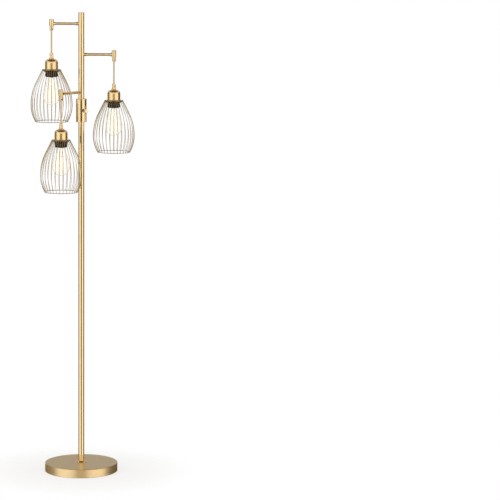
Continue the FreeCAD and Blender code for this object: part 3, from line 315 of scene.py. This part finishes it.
# Each has a name, the azimuths and heights that it runs between, and a colour.
cards = [
    card("card_front", FRONT, (-3.5, 1.35), (0.08, 0.045, 0.012), FAR),
    card("card_front_high", FRONT, (1.35, 13.2), (1.10, 0.97, 0.80), FAR),
    card("card_front_low", FRONT, (-10.0, -3.5), (1.00, 0.85, 0.65), FAR),
    card("card_bright_left", BRIGHT_LEFT, (-2.5, 3.8), (1.28, 1.26, 1.22)),
    card("card_warm_right", BRIGHT_RIGHT, (-2.5, 3.8), (1.30, 1.22, 1.11)),
    card("card_dark_left", DARK_LEFT, (-2.5, 4.2), (0.25, 0.20, 0.13)),
    card("card_dark_right", DARK_RIGHT, (-2.5, 4.2), (0.10, 0.07, 0.03)),
    card("card_behind", BEHIND, (0.6, 2.6), (0.72, 0.75, 0.77)),
    card("card_behind_high", BEHIND, (2.6, 6.0), (0.16, 0.13, 0.09)),
    card("card_behind_low", BEHIND, (-4.0, 0.6), (0.12, 0.08, 0.03)),
    round_card("card_overhead", 7.2, (0.13, 0.09, 0.04)),
    round_card("card_underneath", -5.4, (0.06, 0.035, 0.01)),
]
print("cards:", [one.name for one in cards])

# %% [markdown]
# ## Floor
# Only a soft, light shadow under the base shows that there is a floor. The floor is white paint
# that takes shadows, plus a glow that only direct rays see, which lifts it to the white of the
# background. Away from the lamp it fades to clear, and the white world takes over, so no edge or
# horizon shows. Reflections pass through it, and the side of the base mirrors the cards as the
# pole does.

# %% Floor
FLOOR_RADIUS = 0.5
FADE_START, FADE_END = 0.18, 0.46  # from the middle of the base
FLOOR_GLOW = 0.645
FLOOR_DROP = 0.0004  # keeps the floor just clear of the pad under the base


def object_space(tree):
    """Every point's place on the lamp, in metres."""
    return tree.nodes.new("ShaderNodeTexCoord").outputs["Object"]


def length_of(tree, vector):
    """How long an arrow is."""
    measure = tree.nodes.new("ShaderNodeVectorMath")
    measure.operation = "LENGTH"
    tree.links.new(vector, measure.inputs[0])
    return measure.outputs["Value"]


def fade(tree, start, end):
    """0 nearer to the lamp than start, rising to 1 at end, measured along the floor."""
    ramp = new_node(tree, "ShaderNodeMapRange", From_Min=start, From_Max=end)
    ramp.interpolation_type = "SMOOTHSTEP"
    tree.links.new(length_of(tree, object_space(tree)), ramp.inputs["Value"])
    return ramp.outputs["Result"]


floor_mesh, disc = bpy.data.meshes.new("floor"), bmesh.new()
bmesh.ops.create_circle(disc, cap_ends=True, segments=96, radius=FLOOR_RADIUS)
disc.to_mesh(floor_mesh)
disc.free()
floor_paint = bpy.data.materials.new("white_floor")
floor_paint.use_nodes = True
tree = floor_paint.node_tree
tree.nodes.clear()
paint = new_node(tree, "ShaderNodeBsdfDiffuse", Color=(0.40, 0.395, 0.385, 1))
glow = new_node(tree, "ShaderNodeEmission", Color=(1, 1, 1, 1), Strength=FLOOR_GLOW)
dark = new_node(tree, "ShaderNodeEmission", Color=(1, 1, 1, 1), Strength=0.0)
near = tree.nodes.new("ShaderNodeAddShader")
tree.links.new(paint.outputs[0], near.inputs[0])
tree.links.new(mixed(tree, seen_directly(tree), dark, glow).outputs[0], near.inputs[1])
clear = new_node(tree, "ShaderNodeBsdfTransparent", Color=(1, 1, 1, 1))
shown_floor = mixed(tree, fade(tree, FADE_START, FADE_END), near, clear)
tree.links.new(shown_floor.outputs[0], tree.nodes.new("ShaderNodeOutputMaterial").inputs[0])
floor_mesh.materials.append(floor_paint)
floor = bpy.data.objects.new("floor", floor_mesh)
floor.location.z = -FLOOR_DROP
floor.visible_glossy = False
bpy.context.scene.collection.objects.link(floor)
print("floor radius", FLOOR_RADIUS)

# %% [markdown]
# ## Gold
# All the metal that shows is plated in the same satin gold, but each piece is finished by the way
# it was made. Drawn tubes are brushed along their length, so the lines run upright on the pole and
# level on the arms. Turned pieces carry fine level lines, and the base carries rings. A picture of
# brushed metal would need unwrapping and would smear on curved parts, so the grain is made from
# noise that is stretched: short across the brush lines, long along them. The same noise drives
# three things a little: the colour, how sharp the reflection is, and a tiny bump.

# %% Brush grain
def brush_space(tree, run, across, along):
    """Coordinates stretched along the brush lines. run says how these run on the piece."""
    where = object_space(tree)
    if run in ("upright", "level"):
        stretch = tree.nodes.new("ShaderNodeMapping")
        stretch.inputs["Scale"].default_value = (
            (across, across, along) if run == "upright" else (along, along, across))
        tree.links.new(where, stretch.inputs["Vector"])
        return stretch.outputs[0]
    split = tree.nodes.new("ShaderNodeSeparateXYZ")
    tree.links.new(where, split.inputs[0])
    flat, rings = (tree.nodes.new("ShaderNodeCombineXYZ") for _ in range(2))
    for axis in "XY":
        tree.links.new(split.outputs[axis], flat.inputs[axis])
    radius = length_of(tree, flat.outputs[0])
    for value, axis, size in ((radius, "X", across), (split.outputs["Z"], "Y", across),
                              (split.outputs["X"], "Z", along)):
        tree.links.new(calculate(tree, "MULTIPLY", value, size), rings.inputs[axis])
    return rings.outputs[0]


def noise(tree, space, scale, detail=3.0, roughness=0.55):
    """A cloudy pattern. A larger scale makes it finer."""
    texture = new_node(tree, "ShaderNodeTexNoise", Scale=scale, Detail=detail, Roughness=roughness)
    tree.links.new(space, texture.inputs["Vector"])
    return texture.outputs["Fac"]


def spread(tree, value, low, high):
    """Stretches the middle of a noise to run from low to high."""
    ramp = new_node(tree, "ShaderNodeMapRange", From_Min=0.3, From_Max=0.7,
                    To_Min=low, To_Max=high)
    tree.links.new(value, ramp.inputs["Value"])
    return ramp.outputs["Result"]


def blend_colours(tree, factor, one, two):
    """One colour where the factor is 0, and the other where it is 1."""
    mix = tree.nodes.new("ShaderNodeMix")
    mix.data_type = "RGBA"
    mix.inputs["A"].default_value, mix.inputs["B"].default_value = (*one, 1), (*two, 1)
    tree.links.new(factor, mix.inputs["Factor"])
    return mix.outputs["Result"]


print("brush lines run upright, level or in rings")

# %% Gold finishes
LINE_SHARE, CLOUD_SHARE = 0.6, 0.4  # of the brush lines, and of slow clouding, in colour and gloss
CLOUDS, CLOUD_DETAIL = 38.0, 2.0
BRUSH_LIFT = 0.00001


def finish(name):
    """A material with one principled shader, ready for its textures."""
    material = bpy.data.materials.new(name)
    material.use_nodes = True
    return material, material.node_tree, material.node_tree.nodes["Principled BSDF"]


def bump(tree, shader, height, strength, distance):
    """Lifts the surface a little where the pattern is high."""
    lift = new_node(tree, "ShaderNodeBump", Strength=strength, Distance=distance)
    tree.links.new(height, lift.inputs["Height"])
    tree.links.new(lift.outputs["Normal"], shader.inputs["Normal"])


def gold(name, run, light, dark, roughness, across=2600, along=14, depth=0.12):
    """Brushed gold between two colours and two values of roughness."""
    material, tree, shader = finish(name)
    shader.inputs["Metallic"].default_value = 1.0
    lines = noise(tree, brush_space(tree, run, across, along), 1.0)
    clouds = noise(tree, object_space(tree), CLOUDS, CLOUD_DETAIL)
    both = calculate(tree, "MULTIPLY_ADD", lines, LINE_SHARE,
                     calculate(tree, "MULTIPLY", clouds, CLOUD_SHARE))
    tree.links.new(blend_colours(tree, spread(tree, both, 0, 1), dark, light),
                   shader.inputs["Base Color"])
    tree.links.new(spread(tree, both, *roughness), shader.inputs["Roughness"])
    bump(tree, shader, lines, depth, BRUSH_LIFT)
    return material


# Each has a name, how its lines run, a light and a dark colour, and two values of roughness.
tube_gold = gold("tube_gold", "upright", (0.88, 0.70, 0.41), (0.84, 0.655, 0.37), (0.11, 0.15),
                 depth=0.05)
turned_gold = gold("turned_gold", "level", (0.87, 0.67, 0.37), (0.82, 0.62, 0.33), (0.16, 0.21),
                   depth=0.06)
cup_gold = gold("cup_gold", "level", (0.86, 0.655, 0.365), (0.81, 0.60, 0.315), (0.22, 0.27),
                across=1900, along=20, depth=0.08)
base_gold = gold("base_gold", "rings", (0.86, 0.665, 0.38), (0.79, 0.595, 0.32), (0.36, 0.42),
                 across=1500, along=5, depth=0.10)
print("gold finishes:", [m.name for m in (tube_gold, turned_gold, cup_gold, base_gold)])

# %% [markdown]
# The cages are welded from thin wire and plated as a whole. Their colour is painted much darker
# and greener than the tubes': painted shade, for the dark look of the thin wires. The knob is
# turned, fluted and left paler than the rest, and the cord has a smooth jacket that is coloured to
# match the gold, with a faint twist in it.

# %% Wire, knob and cord
# Painted shade: the same plating as the tubes, painted darker and greener for the wires and welds.
wire_gold = gold("wire_gold", "upright", (0.46, 0.36, 0.19), (0.36, 0.275, 0.13), (0.22, 0.30),
                 across=1200, along=260, depth=0.08)
knob_gold = gold("knob_gold", "level", (0.93, 0.82, 0.62), (0.84, 0.70, 0.48), (0.34, 0.44),
                 across=2200, along=900, depth=0.25)


def cord_jacket():
    """A smooth, slightly shiny jacket over two twisted wires."""
    material, tree, shader = finish("cord_jacket")
    shader.inputs["Metallic"].default_value = 0.55
    shader.inputs["Coat Weight"].default_value = 0.35
    shader.inputs["Coat Roughness"].default_value = 0.12
    where = object_space(tree)
    twist = new_node(tree, "ShaderNodeTexWave", Scale=180.0, Distortion=0.6, Detail=1.0)
    twist.wave_type, twist.bands_direction = "BANDS", "DIAGONAL"
    tree.links.new(where, twist.inputs["Vector"])
    tree.links.new(blend_colours(tree, twist.outputs["Fac"], (0.60, 0.44, 0.20),
                                 (0.72, 0.54, 0.27)), shader.inputs["Base Color"])
    tree.links.new(spread(tree, noise(tree, where, 900.0), 0.27, 0.36), shader.inputs["Roughness"])
    bump(tree, shader, twist.outputs["Fac"], 0.1, 0.00005)
    return material


cord_gold = cord_jacket()
print("wire:", wire_gold.name, "knob:", knob_gold.name, "cord:", cord_gold.name)

# %% [markdown]
# ## Black and plain pieces
# The black ring that screws up under each shade is moulded phenolic plastic, satin with a fine
# grain from the mould. The switch's ring nut and the grub screws are blackened steel. The rest
# hardly shows: plated steel, rubber, foam, the cast weight in the base and the insulation of the
# leads. One helper serves them all, with the size and the depth of the grain as what differs.

# %% Plain finishes
CLOUDS_PER_GRAIN = 9  # how much slower the colour changes than the grain


def grained(name, light, dark, metallic, roughness, size, depth, lift=0.0001):
    """A plain finish with a fine grain, between two colours and two values of roughness."""
    material, tree, shader = finish(name)
    shader.inputs["Metallic"].default_value = metallic
    where = object_space(tree)
    grain = noise(tree, where, size, 4.0, 0.6)
    clouds = noise(tree, where, size / CLOUDS_PER_GRAIN, 2.0)
    tree.links.new(blend_colours(tree, spread(tree, clouds, 0, 1), dark, light),
                   shader.inputs["Base Color"])
    tree.links.new(spread(tree, grain, *roughness), shader.inputs["Roughness"])
    bump(tree, shader, grain, depth, lift)
    return material


# Each has a name, a light and a dark colour, how metallic it is, two values of roughness, and the
# fineness and depth of its grain.
black_shell = grained("black_shell", (0.017, 0.011, 0.008), (0.009, 0.006, 0.004),
                      0.0, (0.42, 0.55), 2400, 0.2)
black_shell.node_tree.nodes["Principled BSDF"].inputs["Specular IOR Level"].default_value = 0.28
dark_steel = grained("dark_steel", (0.075, 0.06, 0.045), (0.04, 0.032, 0.025),
                     0.9, (0.3, 0.45), 1800, 0.15)
plated_steel = grained("plated_steel", (0.62, 0.60, 0.55), (0.52, 0.50, 0.46),
                       1.0, (0.24, 0.36), 900, 0.1)
cap_metal = grained("cap_metal", (0.80, 0.77, 0.70), (0.68, 0.65, 0.58),
                    1.0, (0.22, 0.32), 1100, 0.1)
cast_filler = grained("cast_filler", (0.52, 0.50, 0.47), (0.34, 0.33, 0.31),
                      0.0, (0.8, 0.95), 260, 0.6, lift=0.0006)
pad_foam = grained("pad_foam", (0.05, 0.05, 0.05), (0.02, 0.02, 0.02),
                   0.0, (0.85, 0.97), 700, 0.7, lift=0.0004)
gland_rubber = grained("gland_rubber", (0.035, 0.034, 0.033), (0.02, 0.02, 0.02),
                       0.0, (0.5, 0.65), 1300, 0.3)
lead_jacket = grained("lead_jacket", (0.78, 0.76, 0.70), (0.66, 0.64, 0.58),
                      0.0, (0.35, 0.5), 1000, 0.15)
print("plain finishes:", [m.name for m in (black_shell, dark_steel, plated_steel, cap_metal,
                                           cast_filler, pad_foam, gland_rubber, lead_jacket)])

# %% [markdown]
# ## Glass
# The bulb is blown glass, under a millimetre thick, and the solid has both its faces, so light
# bends as it does in a real bulb. The glass is faintly amber. Each crossing of a face takes a
# little blue out, and rays that pass near the rim cross more glass, so the rim comes out warmer by
# itself. A weak glow stands for the light of the filament that the glass scatters.

# %% Bulb glass
def bulb_glass():
    """Clear glass with the slow ripple of blowing."""
    material, tree, shader = finish("clear_glass")
    shader.inputs["Transmission Weight"].default_value = 1.0
    shader.inputs["IOR"].default_value = 1.46
    shader.inputs["Emission Color"].default_value = (1.0, 0.80, 0.48, 1)
    shader.inputs["Emission Strength"].default_value = 0.03
    ripple = noise(tree, object_space(tree), 55.0, 1.0)
    tree.links.new(blend_colours(tree, spread(tree, ripple, 0, 1), (0.997, 0.984, 0.945),
                                 (1.0, 0.99, 0.96)), shader.inputs["Base Color"])
    tree.links.new(spread(tree, ripple, 0.0, 0.03), shader.inputs["Roughness"])
    bump(tree, shader, ripple, 0.05, 0.0004)
    return material


clear_glass = bulb_glass()
print("glass:", clear_glass.name)

# %% [markdown]
# ## Dress the solids
# Each solid gets its finish here. A piece that there is one of for every pendant, arm or length of
# pole has a number at the end of its name, and the list leaves that out.

# %% Assign the finishes
FINISH_OF = {
    tube_gold: ("pole_section", "pole_upper", "pole_cap", "switch_housing", "foot_collar"),
    turned_gold: ("arm_tube", "arm_ferrules", "arm_hubs", "upper_cord_grips", "lower_cord_grip",
                  "housing_caps"),
    cup_gold: ("socket_cup",),
    base_gold: ("base_cover",),
    wire_gold: ("cage_wires", "cage_ring", "shade_plate"),
    knob_gold: ("switch_knob",),
    cord_gold: ("pendant_cord",),
    black_shell: ("screw_ring", "lamp_holder"),
    dark_steel: ("switch_ring_nut", "switch_body", "grip_screws"),
    plated_steel: ("threaded_nipples", "lock_nuts", "pole_joiners", "switch_shaft"),
    cap_metal: ("holder_liner", "bulb_cap"),
    cast_filler: ("base_weight",),
    pad_foam: ("base_pad",),
    gland_rubber: ("cord_gland",),
    lead_jacket: ("inner_leads",),
    clear_glass: ("bulb_glass",),
}
finish_by_name = {name: material for material, names in FINISH_OF.items() for name in names}
for name, piece in nodes.items():
    plain = name[:-2] if name[-2:] in ("_1", "_2", "_3") else name
    piece.data.materials.clear()
    piece.data.materials.append(finish_by_name[plain])
for cord, seats in cords.values():
    cord.data.materials.append(cord_gold)
    seats.data.materials.append(cord_gold)
print("dressed:", len(nodes), "solids")

# %% [markdown]
# ## Small pieces
# The next pieces are skins stretched over rings of points. A ring is any closed outline, and rings
# with the same number of points can be joined face by face, which makes a turned body, a socket or
# a bent wire with one helper. It is the quickest way to small parts whose every edge is known.

# %% Skins
def ring(centre, across, up, radius, count=24, corners=0):
    """Points round a centre. With corners, they lie on a polygon with that many of them."""
    points = []
    for i in range(count):
        a = 2 * math.pi * i / count
        r = radius
        if corners:
            half_side = math.pi / corners
            from_middle = (a + half_side) % (2 * half_side) - half_side
            r = radius * math.cos(half_side) / math.cos(from_middle)
        points.append(centre + across * (r * math.cos(a)) + up * (r * math.sin(a)))
    return points


def stretch_skin(shell, rings):
    """Joins each ring to the next and closes both ends."""
    made = [[shell.verts.new(p) for p in points] for points in rings]
    for one, two in zip(made, made[1:]):
        for i in range(len(one)):
            k = (i + 1) % len(one)
            shell.faces.new((one[i], one[k], two[k], two[i])).smooth = True
    shell.faces.new(list(reversed(made[0])))
    shell.faces.new(made[-1])


def wire_along(shell, points, radius, count=10):
    """A round wire through the points."""
    rings, side = [], None
    for i, point in enumerate(points):
        ahead = (points[min(i + 1, len(points) - 1)] - points[max(i - 1, 0)]).normalized()
        across = ahead.orthogonal() if side is None else side - ahead * side.dot(ahead)
        side = across.normalized()
        rings.append(ring(point, side, ahead.cross(side), radius, count))
    stretch_skin(shell, rings)


def make_piece(name, shell, body, material):
    """Turns a finished skin into a piece of the lamp."""
    mesh = bpy.data.meshes.new(name)
    bmesh.ops.recalc_face_normals(shell, faces=shell.faces)
    shell.to_mesh(mesh)
    shell.free()
    mesh.materials.append(material)
    return add_object(name, mesh, body)


RIGHT, BACK, UP = Vector((1, 0, 0)), Vector((0, 1, 0)), Vector((0, 0, 1))
print("skin helpers ready")

# %% [markdown]
# A grub screw in the side of each lower grip clamps the cord. It is a headless screw with a
# six-sided socket, blackened, and it sits just under the surface of the grip.

# %% Grub screws of the lower grips
SCREW_AZIMUTH = math.radians(300)
SCREW_DEPTH = 0.0104  # from the lower grip's mouth down to the axis of the screw
SCREW_PROFILE = (  # distance from the cord's line, radius, corners
    (0.0034, 0.0009, 0), (0.0040, 0.00138, 0), (0.0062, 0.00138, 0), (0.00635, 0.00120, 0),
    (0.00635, 0.00072, 6), (0.0052, 0.00072, 6))
outward = Vector((math.cos(SCREW_AZIMUTH), math.sin(SCREW_AZIMUTH), 0))
sideways = Vector((-outward.y, outward.x, 0))
for arm in ARMS:
    middle = under_arm(arm, CORD_LENGTH + SCREW_DEPTH)
    shell = bmesh.new()
    stretch_skin(shell, [ring(middle + outward * reach, sideways, UP, radius, 24, corners)
                         for reach, radius, corners in SCREW_PROFILE])
    make_piece(f"lower_grip_screw_{arm}", shell, f"shade_{arm}", dark_steel)
print("grub screws:", len(ARMS))

# %% [markdown]
# The cage is held together by spot welds: every wire is tacked under the plate and again on the
# ring at the mouth. A weld is a small flattened bead, wider along the ring than across it.
# Thirty-two wires make sixty-four of them on each shade, joined into one piece.

# %% Weld beads
PLATE_BELOW = 0.0623  # from the lower grip's mouth down to the underside of the shade's plate
WIRE_COUNT = 32
HALF_WIDTH = 0.0010
WELDS = ((0.0341, -0.0005, 0.0013, 0.0006),  # radius, height, half the length, half the thickness
         (0.0607, -0.1899, 0.0016, 0.0010))
for arm in ARMS:
    shell = bmesh.new()
    plate = under_arm(arm, CORD_LENGTH + PLATE_BELOW)
    for i in range(WIRE_COUNT):
        a = 2 * math.pi * i / WIRE_COUNT
        for radius, height, half_length, half_thick in WELDS:
            place = plate + Vector((radius * math.cos(a), radius * math.sin(a), height))
            shape = (Matrix.Translation(place) @ Matrix.Rotation(a, 4, "Z")
                     @ Matrix.Diagonal((HALF_WIDTH, half_length, half_thick, 1)))
            bmesh.ops.create_icosphere(shell, subdivisions=2, radius=1, matrix=shape)
    for face in shell.faces:
        face.smooth = True
    make_piece(f"weld_beads_{arm}", shell, f"shade_{arm}", wire_gold)
print("weld beads:", WIRE_COUNT * len(WELDS), "on each shade")

# %% [markdown]
# Inside each bulb, a glass stem comes down from the cap and carries one thin post. Four spokes near
# the top of the post and four at its foot hold the filament, which runs up and down between them.
# It glows, but the lamp is photographed in bright light, so it is only a few pale lines.

# %% Stems and filaments
# Here the first number of a pair is a drop below the shade's plate, and the second is a reach
# outwards from the middle of the bulb.
STEM_OUTLINE = ((0.018, 0.0095), (0.024, 0.0062), (0.034, 0.0046), (0.050, 0.0040),
                (0.0545, 0.0046), (0.057, 0.0030))
POST_DROPS, POST_RADIUS = (0.056, 0.075, 0.112), 0.0007
SPOKES, SPOKE_RADIUS = ((0.060, 0.0085), (0.110, 0.0060)), 0.00022
SPOKE_BEND, SPOKE_SAG = 0.6, 0.0006  # where along it a spoke bends, and how far its end drops
STRANDS, STRAND_RADIUS = 8, 0.00028
STRAND_ENDS = ((0.060, 0.0086), (0.110, 0.0061))


def glowing_filament():
    """A thin wire that glows unevenly along its length."""
    material, tree, shader = finish("glowing_filament")
    shader.inputs["Emission Strength"].default_value = 0.95
    beat = noise(tree, object_space(tree), 420.0, 2.0)
    tree.links.new(blend_colours(tree, spread(tree, beat, 0, 1), (1.0, 0.72, 0.40),
                                 (1.0, 0.86, 0.58)), shader.inputs["Emission Color"])
    tree.links.new(blend_colours(tree, beat, (0.5, 0.34, 0.18), (0.7, 0.5, 0.3)),
                   shader.inputs["Base Color"])
    return material


def in_bulb(arm, drop):
    """A point on the middle line of a bulb, so far below the shade's plate."""
    return under_arm(arm, CORD_LENGTH + PLATE_BELOW) - UP * drop


def outwards(a, reach):
    """A level step of that reach, in the direction of angle a."""
    return Vector((math.cos(a), math.sin(a), 0)) * reach


filament_glow = glowing_filament()
for arm in ARMS:
    stem = bmesh.new()
    stretch_skin(stem, [ring(in_bulb(arm, drop), RIGHT, BACK, radius)
                        for drop, radius in STEM_OUTLINE])
    make_piece(f"bulb_stem_{arm}", stem, f"shade_{arm}", clear_glass)
    posts = bmesh.new()
    wire_along(posts, [in_bulb(arm, drop) for drop in POST_DROPS], POST_RADIUS)
    for quarter in range(4):
        a = math.pi / 4 + quarter * math.pi / 2
        for drop, reach in SPOKES:
            spoke = outwards(a, reach)
            wire_along(posts, [in_bulb(arm, drop), in_bulb(arm, drop) + spoke * SPOKE_BEND,
                               in_bulb(arm, drop + SPOKE_SAG) + spoke], SPOKE_RADIUS, 8)
    make_piece(f"filament_posts_{arm}", posts, f"shade_{arm}", plated_steel)
    path = []
    for strand in range(STRANDS + 1):
        a = 2 * math.pi * strand / STRANDS
        ends = [in_bulb(arm, drop) + outwards(a, reach) for drop, reach in STRAND_ENDS]
        path += ends if strand % 2 == 0 else ends[::-1]
    filament = bmesh.new()
    wire_along(filament, path, STRAND_RADIUS, 8)
    make_piece(f"filament_{arm}", filament, f"shade_{arm}", filament_glow)
print("bulbs filled:", len(ARMS))
